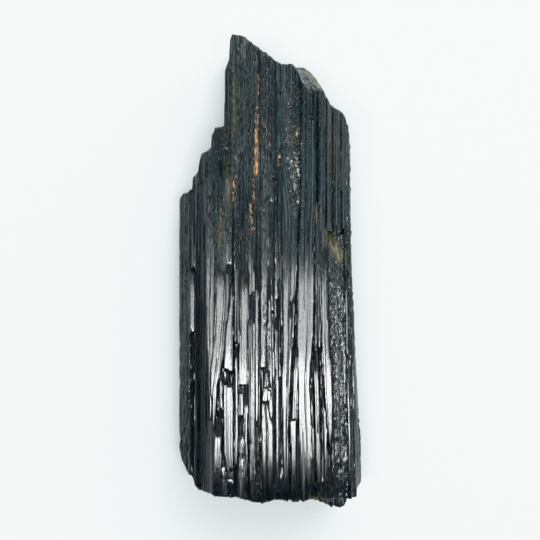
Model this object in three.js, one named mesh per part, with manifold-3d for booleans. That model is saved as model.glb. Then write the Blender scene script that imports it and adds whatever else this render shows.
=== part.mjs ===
// A black tourmaline (schorl) crystal lying on its side: one solid, grown as a bundle of parallel
// prisms. The prisms run along Y. The broken head, stepped at its left and cut obliquely at its right,
// is at +Y and the blunt foot is at -Y. Millimetres, +Z up, origin under the middle of the crystal.
import * as THREE from "three";
import { mergeVertices } from "three/addons/utils/BufferGeometryUtils.js";
import Module from "manifold-3d";

const wasm = await Module();
wasm.setup();

// Driving dimensions.
const LENGTH = 98.7;
const WIDTH = 39.2;
const HEIGHT = 26;
const SKIN = 0.3; // how much wider a rib is below its facet's edges
const SHOULDER = 1.1; // depth of the sloping shoulder beside a facet
const RIB_DEPTH = 5; // how far a rib reaches into the bundle
const END_SLOPE = { across: 0.3, up: 0.15 }; // the steepest that a rib's ends slope, either way
const CROWN_STAGGER = 0.4; // the most that a crown rib falls short of the broken ends
const SAME_POINT = 1e-4; // corners closer than this are one

// The ribs of the flanks and the underside: the narrowest one, how much wider the widest is, how deep
// they sink, how far they roll out of line, and how far they fall short of the foot and of the head.
const FLANK = { narrowest: 1.4, wider: 3, sink: 1, roll: 9, footStagger: 1.2, headStagger: 1.5 };

// The prisms that fill the middle: spacing, radius, how uneven their radii, corners and ends are, the
// lowest row, and their distance from the outline of the section, its top and the broken ends.
const CORE = {
  pitch: 4, radius: 3, unevenRadius: 0.14, unevenTurn: 0.3, unevenSlope: 0.2, lowest: 3,
  margin: 1.6, below: 2, short: 0.3,
};
// Right of `from` their head ends slope down to the right, like the head itself. The head is measured
// a little beside each prism's middle.
const CORE_HEAD = { from: -5, slope: -0.5, unevenUp: 0.3, left: -1.5, right: 1 };

// The bundle spreads towards the foot: slowly in its head half, faster in its foot half.
const FAN = 0.037;
const FAN_BEND = 0.02;
const FAN_ROUND = 10;

// The oblique break at the right of the head faces upwards: a crest there ends this much earlier for
// each millimetre that it stands above the break's lower edge.
const HEAD_SLANT = 0.42;
const HEAD_SLANT_FROM = 16;
const HEAD_SLANT_SETS_IN = [3, 8]; // from which x to which

// The broken ends as seen from above: [x, y] along the head and along the foot.
const HEAD_LINE = [
  [-19.4, 15], [-18.2, 16.3], [-16.7, 17], [-16, 19.6], [-14.8, 20.2], [-14.5, 21.4], [-13.7, 23.8],
  [-11.95, 25.3], [-11.85, 27.4], [-11.2, 28.2], [-11.1, 29.2], [-9.25, 29.4], [-9.15, 40.6],
  [-8.2, 43], [-8.1, 46.6], [-7.4, 48.2], [-5.6, 48], [-3.3, 46.2], [-0.4, 44.2], [1, 42.9],
  [4.1, 41.7], [7.5, 41.8], [9.9, 39.9], [11.1, 38.3], [12.7, 34.7], [15.2, 32.2], [16.8, 29],
  [17.5, 28],
];
const FOOT_LINE = [
  [-19.4, -38], [-18.3, -40.7], [-17.2, -43.1], [-15.7, -44.4], [-14.3, -45.1], [-11, -45.2],
  [-9, -46.4], [-5.4, -47.1], [-2.1, -47.6], [0.5, -47], [4.4, -47.2], [8, -46.7], [14, -46.9],
  [15.9, -47], [16.1, -45.1], [17.5, -43.8],
];
// A lower layer at the right sticks out beyond the foot of the crown.
const LIP = { from: 7.6, to: 14.2, below: 13, reach: 3.5 };

// The bare left wall of the tall half, where the head steps up: x of the wall, the heights that its
// ribs cover, the y where they start inside the bundle and their depth; then their widths, sink, roll
// and stagger as for the flanks.
const WALL = {
  x: -9.6, from: 2, to: 23, start: 24, depth: 3, narrowest: 1.2, wider: 2.2, sink: 0.6, roll: 14,
  headStagger: 5,
};

// The section's corners, clockwise from the left flank, as seen from the foot: [x, z].
const SECTION = [
  [-19.3, 8], [-18.9, 13], [-15.2, 19], [-12.8, 23.6], [-4, 25.8], [8, 25.8], [12, 24.8], [15.5, 22],
  [17, 17.5], [17.5, 11.5], [15.2, 3.6], [8.6, -0.4], [-9.5, -0.4], [-16.4, 2.6],
];
const FIRST_UNDER_SIDE = 8;

// The ribs of the crown, from left to right: middle x, facet width, crest height, and the roll of the
// facet in degrees, where a positive roll faces left.
const CROWN = [
  [-18.5, 2.3, 13.2, 52], [-17.0, 1.5, 16.0, 44], [-15.8, 1.0, 17.4, 4], [-14.7, 2.0, 19.4, 54],
  [-13.4, 1.7, 22.0, 46], [-11.9, 1.9, 23.9, 7], [-10.1, 1.6, 24.5, 3], [-8.7, 1.0, 24.6, 2],
  [-7.9, 0.8, 24.8, 0], [-6.7, 1.2, 23.8, 24], [-5.0, 1.7, 25.0, 6], [-3.4, 1.3, 25.4, 1],
  [-2.2, 0.9, 25.2, -4], [-0.4, 2.2, 25.7, 0], [1.9, 1.3, 24.9, 5], [4.2, 2.8, 25.6, 1],
  [7.0, 1.8, 26.0, 0], [8.7, 1.2, 25.5, -2], [9.9, 0.7, 24.4, 3], [11.1, 1.2, 25.0, -4],
  [12.6, 1.6, 24.5, -12], [14.3, 1.7, 23.4, -22], [15.7, 1.4, 21.6, -45], [16.7, 1.6, 18.9, -64],
];

// Small seeded generator, so that every build is the same.
function randomFrom(seed) {
  let state = seed;
  return () => {
    state = (state * 1664525 + 1013904223) % 4294967296;
    return state / 4294967296;
  };
}
const random = randomFrom(11);
const spread = (amount) => amount * (2 * random() - 1);

// y on a broken line of [x, y] points.
function along(line, x) {
  const next = line.findIndex((point) => point[0] >= x);
  if (next <= 0) return line[next === 0 ? 0 : line.length - 1][1];
  const [x0, y0] = line[next - 1];
  const [x1, y1] = line[next];
  return y0 + ((y1 - y0) * (x - x0)) / (x1 - x0);
}

// Where a rib at (x, z) ends.
function headAt(x, z) {
  const slanted = THREE.MathUtils.smoothstep(x, ...HEAD_SLANT_SETS_IN);
  return along(HEAD_LINE, x) - slanted * HEAD_SLANT * Math.max(0, z - HEAD_SLANT_FROM);
}
function footAt(x, z) {
  const onLip = x > LIP.from && x < LIP.to && z < LIP.below;
  return along(FOOT_LINE, x) - (onLip ? LIP.reach : 0);
}

function solidFrom(geometry) {
  geometry.deleteAttribute("normal");
  geometry.deleteAttribute("uv");
  const merged = mergeVertices(geometry, SAME_POINT);
  return new wasm.Manifold(
    new wasm.Mesh({
      numProp: 3,
      vertProperties: merged.attributes.position.array,
      triVerts: new Uint32Array(merged.index.array),
    }),
  );
}

// A prism along Y with the section `corners` [x, z], from y = foot to y = head, with sloping ends.
function prism(corners, foot, head, slopeFoot, slopeHead) {
  const shape = new THREE.Shape(corners.map(([x, z]) => new THREE.Vector2(x, z)));
  const geometry = new THREE.ExtrudeGeometry(shape, { depth: head - foot, bevelEnabled: false });
  geometry.rotateX(Math.PI / 2);
  geometry.translate(0, head, 0);
  const middleX = corners.reduce((sum, corner) => sum + corner[0], 0) / corners.length;
  const middleZ = corners.reduce((sum, corner) => sum + corner[1], 0) / corners.length;
  const position = geometry.attributes.position;
  for (let i = 0; i < position.count; i++) {
    const slope = position.getY(i) > (head + foot) / 2 ? slopeHead : slopeFoot;
    const shift = slope[0] * (position.getX(i) - middleX) + slope[1] * (position.getZ(i) - middleZ);
    position.setY(i, position.getY(i) + shift);
  }
  return solidFrom(geometry);
}

// A rib whose outer facet is centred on (x, z), turned by `roll` degrees towards the left.
function rib(x, z, width, depth, roll, foot, head) {
  const turn = THREE.MathUtils.degToRad(roll);
  const half = width / 2;
  const corners = [
    [-half, 0], [-half - SKIN, -SHOULDER], [-half - SKIN, -depth],
    [half + SKIN, -depth], [half + SKIN, -SHOULDER], [half, 0],
  ].map(([across, up]) => [
    x + across * Math.cos(turn) - up * Math.sin(turn),
    z + across * Math.sin(turn) + up * Math.cos(turn),
  ]);
  const slopes = [0, 1].map(() => [spread(END_SLOPE.across), spread(END_SLOPE.up)]);
  return prism(corners, foot, head, ...slopes);
}

function crownRibs() {
  return CROWN.map(([x, width, z, roll]) => {
    const foot = footAt(x, z) + random() * CROWN_STAGGER;
    const head = headAt(x, z) - random() * CROWN_STAGGER;
    return rib(x, z, width, RIB_DEPTH, roll, foot, head);
  });
}

// Ribs of uneven width round the flanks and the underside, from the right flank to the left one.
function underRibs() {
  const ribs = [];
  const corners = [...SECTION.slice(FIRST_UNDER_SIDE), SECTION[0], SECTION[1]];
  for (let side = 0; side < corners.length - 1; side++) {
    const from = new THREE.Vector2(...corners[side]);
    const to = new THREE.Vector2(...corners[side + 1]);
    const run = to.clone().sub(from);
    const outward = new THREE.Vector2(-run.y, run.x).normalize();
    const roll = THREE.MathUtils.radToDeg(Math.atan2(-outward.x, outward.y));
    let gone = 0;
    while (gone < run.length() - 1) {
      const width = Math.min(FLANK.narrowest + FLANK.wider * random(), run.length() - gone);
      const at = from.clone().lerp(to, (gone + width / 2) / run.length());
      at.addScaledVector(outward, -random() * FLANK.sink);
      const foot = footAt(at.x, at.y) + random() * FLANK.footStagger;
      const head = headAt(at.x, at.y) - random() * FLANK.headStagger;
      ribs.push(rib(at.x, at.y, width, RIB_DEPTH, roll + spread(FLANK.roll), foot, head));
      gone += width;
    }
  }
  return ribs;
}

// Ribs up the bare wall of the tall half, facing left.
function wallRibs() {
  const ribs = [];
  const top = along(HEAD_LINE, WALL.x + 1);
  let z = WALL.from;
  while (z < WALL.to - 1) {
    const width = Math.min(WALL.narrowest + WALL.wider * random(), WALL.to - z);
    const x = WALL.x + random() * WALL.sink;
    const head = top - random() * WALL.headStagger;
    ribs.push(rib(x, z + width / 2, width, WALL.depth, 90 + spread(WALL.roll), WALL.start, head));
    z += width;
  }
  return ribs;
}

function inside(x, z, margin) {
  return SECTION.every(([x0, z0], i) => {
    const [x1, z1] = SECTION[(i + 1) % SECTION.length];
    const run = Math.hypot(x1 - x0, z1 - z0);
    return ((z - z0) * (x1 - x0) - (x - x0) * (z1 - z0)) / run < -margin;
  });
}

// Uneven six-sided prisms that fill the middle of the bundle, each broken off at its own height.
function corePrisms() {
  const prisms = [];
  const rowHeight = CORE.pitch * Math.sin(Math.PI / 3);
  for (let row = 0, z = CORE.lowest; z < HEIGHT - CORE.below; row++, z += rowHeight) {
    const offset = (row % 2) * (CORE.pitch / 2);
    for (let x = -WIDTH / 2 + offset; x < WIDTH / 2; x += CORE.pitch) {
      if (!inside(x, z, CORE.margin)) continue;
      const corners = Array.from({ length: 6 }, (_, i) => {
        const angle = (Math.PI / 3) * (i + 0.5) + spread(CORE.unevenTurn);
        const radius = CORE.radius * (1 + spread(CORE.unevenRadius));
        return [x + radius * Math.cos(angle), z + radius * Math.sin(angle)];
      });
      const foot = footAt(x, z) + CORE.short + random();
      const nearest = Math.min(headAt(x + CORE_HEAD.left, z), headAt(x + CORE_HEAD.right, z));
      const head = nearest - CORE.short - random();
      const across = x > CORE_HEAD.from ? CORE_HEAD.slope : spread(CORE.unevenSlope);
      const headSlope = [across, spread(CORE_HEAD.unevenUp)];
      const footSlope = [spread(CORE.unevenSlope), spread(CORE.unevenSlope)];
      prisms.push(prism(corners, foot, head, footSlope, headSlope));
    }
  }
  return prisms;
}

// Cuts the bundle off flat where it lies, and at its overall length.
function trim(solid) {
  const box = new THREE.BoxGeometry(2 * WIDTH, LENGTH, HEIGHT);
  const [, peak] = HEAD_LINE.reduce((high, point) => (point[1] > high[1] ? point : high));
  box.translate(0, peak - LENGTH / 2, HEIGHT / 2);
  return solid.intersect(solidFrom(box));
}

// Spreads the bundle towards the foot, fixed at the left flank, then centres it on the origin.
function fanned(solid) {
  const mesh = solid.getMesh();
  const position = new THREE.BufferAttribute(new Float32Array(mesh.vertProperties), 3);
  for (let i = 0; i < position.count; i++) {
    const [x, y] = [position.getX(i), position.getY(i)];
    const share = Math.max(0, (x + WIDTH / 2) / WIDTH) ** 2;
    const spreading = -FAN * y + FAN_BEND * (Math.hypot(y, FAN_ROUND) - FAN_ROUND);
    position.setX(i, x + share * spreading);
  }
  const geometry = new THREE.BufferGeometry();
  geometry.setAttribute("position", position);
  geometry.setIndex(new THREE.BufferAttribute(new Uint32Array(mesh.triVerts), 1));
  geometry.computeBoundingBox();
  const { min, max } = geometry.boundingBox;
  geometry.translate(-(min.x + max.x) / 2, -(min.y + max.y) / 2, -min.z);
  return geometry;
}

const bundle = wasm.Manifold.union([...crownRibs(), ...underRibs(), ...wallRibs(), ...corePrisms()]);
const schorl = new THREE.MeshStandardMaterial({ color: 0x10151a, roughness: 0.3, metalness: 0 });
const crystal = new THREE.Mesh(fanned(trim(bundle)), schorl);
crystal.name = "crystal";

const group = new THREE.Group();
group.add(crystal);
export default group;
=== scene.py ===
"""Looks of a black tourmaline (schorl) crystal that lies on its side on a pale surface.

The crystal is one solid: a bundle of long ribs grown together along +Y. Each rib is a plank with a
flat or striated outer facet. The ribs are laid into a field on a fine grid, chipped and roughened
there, and the field's zero surface becomes one mesh. Lengths in the tables are millimetres in the
crystal's own axes, which `placed` turns into the frame's metres.
"""

import math
from collections import namedtuple
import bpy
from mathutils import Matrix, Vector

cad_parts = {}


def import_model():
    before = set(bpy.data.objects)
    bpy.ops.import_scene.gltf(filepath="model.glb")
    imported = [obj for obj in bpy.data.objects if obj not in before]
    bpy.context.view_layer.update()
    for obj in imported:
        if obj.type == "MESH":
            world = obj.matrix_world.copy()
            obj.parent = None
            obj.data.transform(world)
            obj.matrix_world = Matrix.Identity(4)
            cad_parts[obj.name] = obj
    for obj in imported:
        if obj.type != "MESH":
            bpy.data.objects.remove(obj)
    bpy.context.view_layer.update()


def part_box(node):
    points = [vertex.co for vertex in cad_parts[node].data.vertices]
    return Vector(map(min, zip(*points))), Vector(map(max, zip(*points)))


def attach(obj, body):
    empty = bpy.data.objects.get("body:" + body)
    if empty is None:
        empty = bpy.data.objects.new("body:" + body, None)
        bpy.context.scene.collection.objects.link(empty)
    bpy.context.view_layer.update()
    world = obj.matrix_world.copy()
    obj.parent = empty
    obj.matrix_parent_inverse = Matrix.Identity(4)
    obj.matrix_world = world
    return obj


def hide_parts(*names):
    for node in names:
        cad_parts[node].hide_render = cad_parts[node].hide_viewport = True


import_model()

from types import SimpleNamespace

import bmesh
import bpy
import numpy as np
from mathutils import Vector

MM = 0.001
RANDOM = np.random.default_rng(7)

# --- Shape of the whole bundle ---

WIDTH = 39.2
LENGTH = 98.7
HEIGHT = 26.0
PEAK = 48.2  # y of the head's tip
LEFT = -19.3
RIGHT = 19.2
STEP = ((0.13, 0.45, 0.14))  # grid spacing along x, y, z

# The bundle spreads towards the foot: slowly in its head half, faster in its foot half.
FAN = 0.037
FAN_BEND = 0.02
FAN_ROUND = 10.0

# The broken ends as seen from above: x, y along the head and along the foot.
HEAD_LINE = [
    (-19.4, 15.0), (-18.3, 16.2), (-16.3, 17.0), (-16.2, 19.4), (-14.9, 20.3), (-14.8, 21.6),
    (-14.3, 23.9), (-13.1, 24.8), (-12.1, 25.3), (-12.0, 27.6), (-11.5, 28.5), (-11.3, 29.3),
    (-9.35, 29.5), (-9.25, 40.6), (-8.3, 43.2), (-8.2, 46.6), (-7.7, 48.2), (-5.6, 48.0), (-3.3, 46.2),
    (-0.4, 44.2), (1.0, 42.9), (2.7, 42.0), (3.8, 41.8), (5.0, 42.1), (6.1, 42.5), (7.5, 42.4),
    (9.0, 41.5), (10.3, 39.9), (11.3, 38.2), (11.8, 36.9), (12.9, 34.7), (14.1, 33.8), (15.3, 33.1),
    (16.1, 32.0), (16.8, 30.4), (17.0, 29.2), (17.5, 28.6),
]
FOOT_LINE = [
    (-19.4, -37.6), (-18.6, -40.4), (-17.3, -43.0), (-16.4, -43.6), (-16.0, -44.9), (-15.0, -45.7),
    (-11.6, -46.3), (-9.0, -46.4), (-5.4, -47.1), (-2.1, -47.6), (0.5, -47.0), (4.4, -47.2),
    (8.0, -46.7), (14.0, -46.9), (15.9, -47.0), (16.1, -45.1), (17.5, -43.8),
]
# The break at the right of the head faces upwards: at each x, higher crests end this much earlier a mm.
HEAD_SLANT = [(5.0, 0.0), (6.4, 0.28), (7.2, 0.46), (8.6, 0.54), (9.8, 0.42), (11.4, 0.14), (13.0, 0.12)]
HEAD_SLANT_FROM = 16.0  # the z where that starts
# A lower layer at the right sticks out beyond the foot of the crown.
LIP_LINE = [
    (6.8, -46.0), (7.4, -48.0), (9.2, -49.5), (10.4, -49.9), (11.6, -50.5), (13.8, -50.4),
    (14.3, -49.2), (14.5, -46.0),
]
LIP_BELOW = 13.0

# Corners of the section, clockwise from the left flank as seen from the foot: x, z.
SECTION = [
    (-19.3, 7.5), (-18.95, 11.6), (-15.2, 19.0), (-12.8, 23.6), (-4.0, 25.8), (8.0, 25.8),
    (12.0, 24.8), (15.5, 22.0), (17.0, 17.5), (17.5, 11.5), (15.2, 3.6), (8.6, -0.4),
    (-9.5, -0.4), (-16.4, 2.6),
]
FIRST_UNDER_SIDE = 8
CORE_INSET = 2.3  # how far below the facets the grown-together core begins

# How a facet looks: the slope in degrees of its striae, the depth of its roughness in mm, and how
# far its edges wander and chip in mm.
Look = namedtuple("Look", "striae rough waver")
SMOOTH = Look(0.8, 0.0, 0.04)
STRIATED = Look(2.6, 0.003, 0.06)
ROUGH = Look(5.0, 0.12, 0.12)
GRAINY = Look(7.0, 0.26, 0.16)
CRUSTED = Look(3.5, 0.05, 0.10)

# A facet of the crown: the height of its middle, its roll in degrees (positive faces left), its look,
# its edges as rows of y, left x and right x, from its foot end to its head end, and how deep it sinks
# at its head end (0 for a sharp break).
Facet = namedtuple("Facet", "crest roll look edges sink", defaults=[0.6])
SINK_SHARE = 0.2  # the share of a rib's length over which its head end sinks
SINK_LENGTH = 12.0  # and the most that comes to in mm
FOOT_DROOP = 0.55  # the most that a rib droops in mm at the broken foot
DROOP_SHARES = (0.55, 0.45)  # the steady share of that, and the share that differs from rib to rib
DROOP_TURNS = 9.0  # how fast it differs, in radians for each mm across
DROOPS_OVER = (42.5, 49.0)  # from which to which -y a rib droops
OVERLAP = 0.07  # how far a facet reaches beyond its listed edges in mm
JAGGED = 0.045  # how far every facet's edges jag in and out in mm
FOOT = -52.0  # beyond both broken ends, which then cut the rib
HEAD = 50.0

CROWN = [
    # the left shoulder, with the bare ledge
    (13.2, 47, ROUGH, [(FOOT, -19.2, -17.1), (16.6, -19.3, -16.9)]),
    (14.2, 34, SMOOTH, [(FOOT, -17.2, -15.9), (-12.0, -17.0, -15.9)]),
    (16.7, 0, SMOOTH, [(-13.2, -16.6, -15.8), (-0.5, -16.7, -15.8)], 0.0),
    (16.2, 32, STRIATED, [(0.2, -17.0, -15.9), (22.0, -17.0, -15.9)], 0.0),
    # the smooth dark rib and the striated strips beside it
    (19.6, 34, SMOOTH, [(FOOT, -15.7, -13.0), (19.0, -15.4, -13.1)]),
    (18.3, 42, STRIATED, [(0.0, -15.6, -15.1), (22.0, -15.8, -15.0)]),
    (19.9, 38, STRIATED, [(18.0, -15.4, -13.4), (HEAD, -15.2, -13.2)]),
    (21.4, 30, ROUGH, [(17.6, -13.5, -12.2), (HEAD, -13.5, -12.0)]),
    (21.4, 42, SMOOTH, [(FOOT, -13.1, -12.0), (-32.0, -12.9, -12.2)]),
    (23.4, 4, SMOOTH, [
        (-31.0, -12.4, -11.9), (-21.0, -12.6, -12.0), (-15.0, -12.9, -11.6), (0.0, -13.0, -11.4),
        (19.0, -12.9, -11.6),
    ]),
    # the wide facet that leans left towards the foot and splits there
    (23.0, 20, ROUGH, [(18.0, -12.4, -10.8), (HEAD, -12.2, -10.8)]),
    (23.4, 12, STRIATED, [(8.0, -11.0, -9.2), (HEAD, -11.0, -9.2)]),
    (24.15, 2, STRIATED, [(-3.0, -11.2, -9.1), (19.0, -11.2, -9.2)]),
    (24.2, 3, STRIATED, [(0.9, -9.2, -7.8), (19.0, -9.2, -7.9)], 0.0),
    (24.2, 2, STRIATED, [
        (-33.0, -11.65, -11.5), (-24.0, -11.95, -10.9), (-20.4, -12.0, -10.0), (-15.3, -11.5, -9.2),
        (-7.6, -11.3, -8.3), (-0.4, -11.3, -7.9),
    ], 0.0),
    (24.2, 3, SMOOTH, [(-28.5, -10.4, -9.8), (-21.0, -10.1, -9.8)]),
    (24.1, 3, STRIATED, [(FOOT, -11.6, -10.1), (-41.0, -11.5, -10.0), (-30.2, -11.0, -10.0)]),
    (24.8, 0, SMOOTH, [
        (-20.6, -9.4, -7.6), (-12.0, -8.9, -7.6), (-7.0, -8.1, -7.55), (-2.8, -7.9, -7.65),
    ], 0.0),
    (24.8, 0, STRIATED, [(-41.0, -8.7, -7.6), (-37.0, -9.3, -7.6), (-23.4, -9.3, -7.6)], 0.0),
    (24.6, 1, STRIATED, [(FOOT, -8.5, -7.5), (-40.6, -8.6, -7.6)]),
    (23.8, -4, CRUSTED, [(FOOT, -10.1, -8.5), (-37.6, -9.7, -8.6)]),
    # between the first main groove and the black line
    (24.7, -16, SMOOTH, [(-15.0, -7.1, -6.05), (17.0, -7.3, -6.2)]),
    (25.0, 0, SMOOTH, [(-40.0, -7.05, -6.65), (-13.0, -7.05, -6.75)]),
    (24.4, -34, SMOOTH, [(FOOT, -6.6, -6.15), (-12.0, -6.55, -6.1)]),
    (24.8, 16, SMOOTH, [(-7.0, -6.0, -5.2), (27.0, -6.2, -5.0)]),
    (24.9, 4, STRIATED, [(-6.0, -5.2, -4.6), (16.0, -5.1, -4.6)]),
    (25.2, 1, STRIATED, [(-23.5, -6.2, -4.4), (-12.0, -6.1, -4.4), (2.0, -5.9, -4.5)]),
    (25.2, 0, SMOOTH, [(-30.0, -6.3, -5.5), (-23.7, -6.2, -5.4)]),
    (24.7, -3, CRUSTED, [(FOOT, -6.3, -5.2), (-30.2, -6.2, -5.3)]),
    (24.7, 2, STRIATED, [(FOOT, -5.2, -4.6), (-22.5, -5.3, -4.6)]),
    # the fine strips of the middle
    (25.3, 0, STRIATED, [(FOOT, -4.1, -3.1), (-2.0, -4.4, -3.1)]),
    (24.9, 4, STRIATED, [(-5.0, -4.6, -3.05), (17.0, -4.7, -3.0)]),
    (25.6, 0, SMOOTH, [(-31.0, -2.9, -2.45), (2.0, -2.9, -2.35)]),
    (24.9, -16, STRIATED, [(FOOT, -2.95, -1.8), (-30.0, -2.9, -1.9)]),
    (25.1, -20, SMOOTH, [(-32.0, -2.35, -2.05), (16.0, -2.35, -2.05)]),
    (25.4, 1, STRIATED, [
        (-20.0, -1.75, -0.95), (-12.0, -1.75, -0.75), (-8.0, -1.75, -0.45), (21.0, -1.9, -0.3),
    ]),
    (24.5, 0, GRAINY, [(-31.8, -1.4, 0.55), (-5.5, -0.9, 0.6)]),
    (25.2, 1, SMOOTH, [(-23.9, -1.3, -0.05), (-20.8, -1.2, -0.3)], 0.0),
    (25.4, 0, SMOOTH, [(-26.6, -1.4, 0.05), (-24.2, -1.3, -0.1)], 0.0),
    (25.5, -2, STRIATED, [(FOOT, -1.35, 0.6), (-32.0, -1.5, 0.5), (-27.0, -1.5, -0.6)], 0.0),
    (25.2, 2, SMOOTH, [(-8.5, 0.45, 0.7), (-3.0, -0.1, 0.5)]),
    (24.7, -32, SMOOTH, [(-4.0, -0.3, 0.45), (17.0, -0.25, 0.45)]),
    # right of the second main groove, up to the long leaning crack
    (25.0, -8, SMOOTH, [(FOOT, 1.4, 2.0), (-4.0, 1.1, 1.7)]),
    (25.3, 3, STRIATED, [(-6.0, 1.05, 1.75), (22.0, 1.0, 1.75)], 0.15),
    (25.7, 0, SMOOTH, [(-22.0, 1.8, 2.05), (-1.0, 1.78, 1.98)]),
    (25.2, 4, STRIATED, [(-12.0, 2.05, 2.6), (22.0, 1.8, 2.55)], 0.15),
    (25.5, 0, STRIATED, [
        (FOOT, 2.7, 3.5), (-31.0, 2.65, 3.7), (-14.0, 2.65, 4.5), (1.6, 2.6, 5.4), (12.0, 2.5, 5.6),
        (21.0, 2.6, 3.2),
    ], 0.15),
    (25.5, 2, STRIATED, [(-16.0, 3.9, 4.6), (-4.0, 4.3, 5.1)]),
    (25.5, 1, STRIATED, [(-31.5, 4.25, 5.6), (-22.0, 4.8, 5.7), (-14.5, 5.3, 5.75)]),
    (25.8, 0, SMOOTH, [(FOOT, 4.6, 5.4), (-40.0, 4.35, 5.2), (-30.4, 4.1, 5.3)], 0.0),
    (25.0, -22, SMOOTH, [(FOOT, 5.4, 6.4), (-30.2, 5.4, 5.9)]),
    # the widest facet, which runs the whole length, and the thin strips beside it
    (25.9, 0, SMOOTH, [
        (FOOT, 6.5, 8.2), (-44.0, 6.35, 8.2), (-38.9, 6.1, 8.5), (-29.7, 5.9, 8.2), (-23.0, 5.85, 7.9),
        (-13.0, 5.6, 8.7), (-2.0, 5.7, 8.8), (10.0, 6.05, 8.9), (14.0, 6.35, 9.1), (HEAD, 6.4, 9.35),
    ]),
    (25.6, 0, SMOOTH, [(FOOT, 8.5, 8.8), (-36.0, 8.75, 9.0), (-22.0, 8.2, 8.5)]),
    (25.5, 0, SMOOTH, [(FOOT, 9.6, 10.6), (-28.0, 9.2, 10.0), (-14.0, 8.9, 9.65)]),
    (25.2, -8, STRIATED, [(-16.0, 9.25, 10.25), (14.0, 9.4, 10.2)]),
    (25.2, 0, STRIATED, [
        (-36.5, 12.3, 12.45), (-30.0, 11.4, 12.75), (-22.0, 10.9, 12.5), (-14.0, 10.45, 11.9),
        (9.0, 10.45, 11.5),
    ]),
    (24.7, -4, STRIATED, [(FOOT, 10.8, 12.2), (-23.0, 10.6, 11.2)]),
    # the recessed rough band at the right and the strips that border it
    (23.5, -6, ROUGH, [(FOOT, 12.2, 16.3), (7.2, 11.6, 15.1)]),
    (23.7, -5, STRIATED, [(FOOT, 16.4, 16.75), (9.0, 15.2, 15.5)]),
    (21.9, -36, ROUGH, [(FOOT, 16.9, 17.5), (30.0, 15.6, 16.2)]),
    (21.0, -6, SMOOTH, [(FOOT, 17.65, 17.85), (-22.0, 17.0, 17.2), (0.0, 16.4, 16.55)]),
    # the right flank as it shows from above
    (19.6, -52, STRIATED, [
        (FOOT, 17.5, 18.6), (-23.0, 16.8, 17.7), (3.0, 16.2, 16.8), (30.0, 15.9, 16.3),
    ]),
    (15.6, -68, GRAINY, [
        (FOOT, 18.7, 19.4), (-35.0, 18.4, 19.0), (-23.0, 17.7, 18.2), (3.0, 16.7, 17.1), (28.0, 16.4, 16.9),
    ]),
    (11.6, -80, STRIATED, [
        (FOOT, 19.2, 19.6), (-23.0, 18.1, 18.4), (3.0, 17.0, 17.3), (22.0, 16.7, 17.0),
    ]),
    # the head, left to right
    (23.2, 16, ROUGH, [(17.0, -9.5, -8.1), (HEAD, -9.4, -8.2)]),
    (24.3, 7, STRIATED, [(9.0, -7.9, -7.2), (HEAD, -8.2, -7.1)]),
    (24.5, 3, STRIATED, [(8.0, -7.05, -6.3), (HEAD, -7.05, -6.2)]),
    (24.6, 3, STRIATED, [(10.0, -6.0, -4.9), (HEAD, -6.05, -4.9)]),
    (24.6, 2, STRIATED, [(6.0, -4.85, -3.1), (HEAD, -4.85, -3.1)]),
    (24.5, -6, STRIATED, [(6.0, -3.0, -2.0), (HEAD, -3.0, -1.95)]),
    (24.9, 1, CRUSTED, [(14.0, -1.85, 0.45), (HEAD, -1.85, 0.6)]),
    (24.7, 2, CRUSTED, [(12.0, 0.95, 3.2), (34.0, 0.7, 3.2), (HEAD, 0.6, 3.2)]),
    (24.95, 0, CRUSTED, [
        (11.5, 5.3, 5.9), (15.8, 4.9, 6.05), (21.0, 3.0, 6.1), (24.0, 1.2, 6.1), (HEAD, 1.1, 6.1),
    ]),
    (25.1, -5, STRIATED, [(3.0, 9.9, 11.1), (HEAD, 9.9, 11.3)], 0.0),
    (24.5, -18, SMOOTH, [(7.9, 11.65, 12.6), (HEAD, 11.65, 12.6)], 0.0),
    (24.6, -10, STRIATED, [(7.2, 12.95, 14.3), (HEAD, 12.95, 14.2)], 0.0),
    (24.2, -2, SMOOTH, [(16.0, 14.45, 14.7), (25.0, 14.4, 14.65)]),
    (23.4, -36, STRIATED, [(8.6, 14.7, 15.7), (HEAD, 14.6, 15.5)], 0.0),
]

# The bare left wall of the tall half: x, lowest z, highest z, y where its ribs start.
WALL = (-9.6, 2.0, 23.0, 24.0)

# Thin dark lines between striae: the share of striae that have one, and its half width.
NOTCHED = 0.4
NOTCH_REACH = 0.13

FLANK_LOOKS = [SMOOTH, STRIATED, STRIATED, ROUGH]  # one at random for each rib of the flanks

MOST_TRIANGLES = 190000  # the mesh is decimated to this
FEWEST_FACES = 100  # shells with fewer faces than this are crumbs
CREASE = 16.0  # edges that turn by more degrees than this stay sharp

# --- Helpers ---


def along(line, x):
    """y on a broken line of (x, y) points."""
    xs, ys = zip(*line)
    return np.interp(x, xs, ys)


def smoothstep(value, low, high):
    t = np.clip((value - low) / (high - low), 0.0, 1.0)
    return t * t * (3.0 - 2.0 * t)


def spreading(y):
    return -FAN * y + FAN_BEND * (np.hypot(y, FAN_ROUND) - FAN_ROUND)


def fanned(x, y):
    """Where a rib that is at x at mid-length lies at y."""
    share = np.maximum(0.0, (x + WIDTH / 2) / WIDTH) ** 2
    return x + share * spreading(y)


def unfanned(x, y):
    """The mid-length x of the rib that lies at (x, y): the inverse of `fanned`."""
    edge = np.maximum(x + WIDTH / 2, 0.0)
    root = np.sqrt(WIDTH**2 + 4.0 * spreading(y) * edge)
    return np.where(x > -WIDTH / 2, 2.0 * WIDTH * edge / (WIDTH + root) - WIDTH / 2, x)


def wander(at, pitch, amount):
    """A random wavering curve over `at`, with a knot about every `pitch`."""
    knots = np.arange(at.min() - pitch, at.max() + 2 * pitch, pitch)
    knots = knots + RANDOM.uniform(-0.3, 0.3, len(knots)) * pitch
    return np.interp(at, knots, RANDOM.uniform(-amount, amount, len(knots)))


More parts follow.
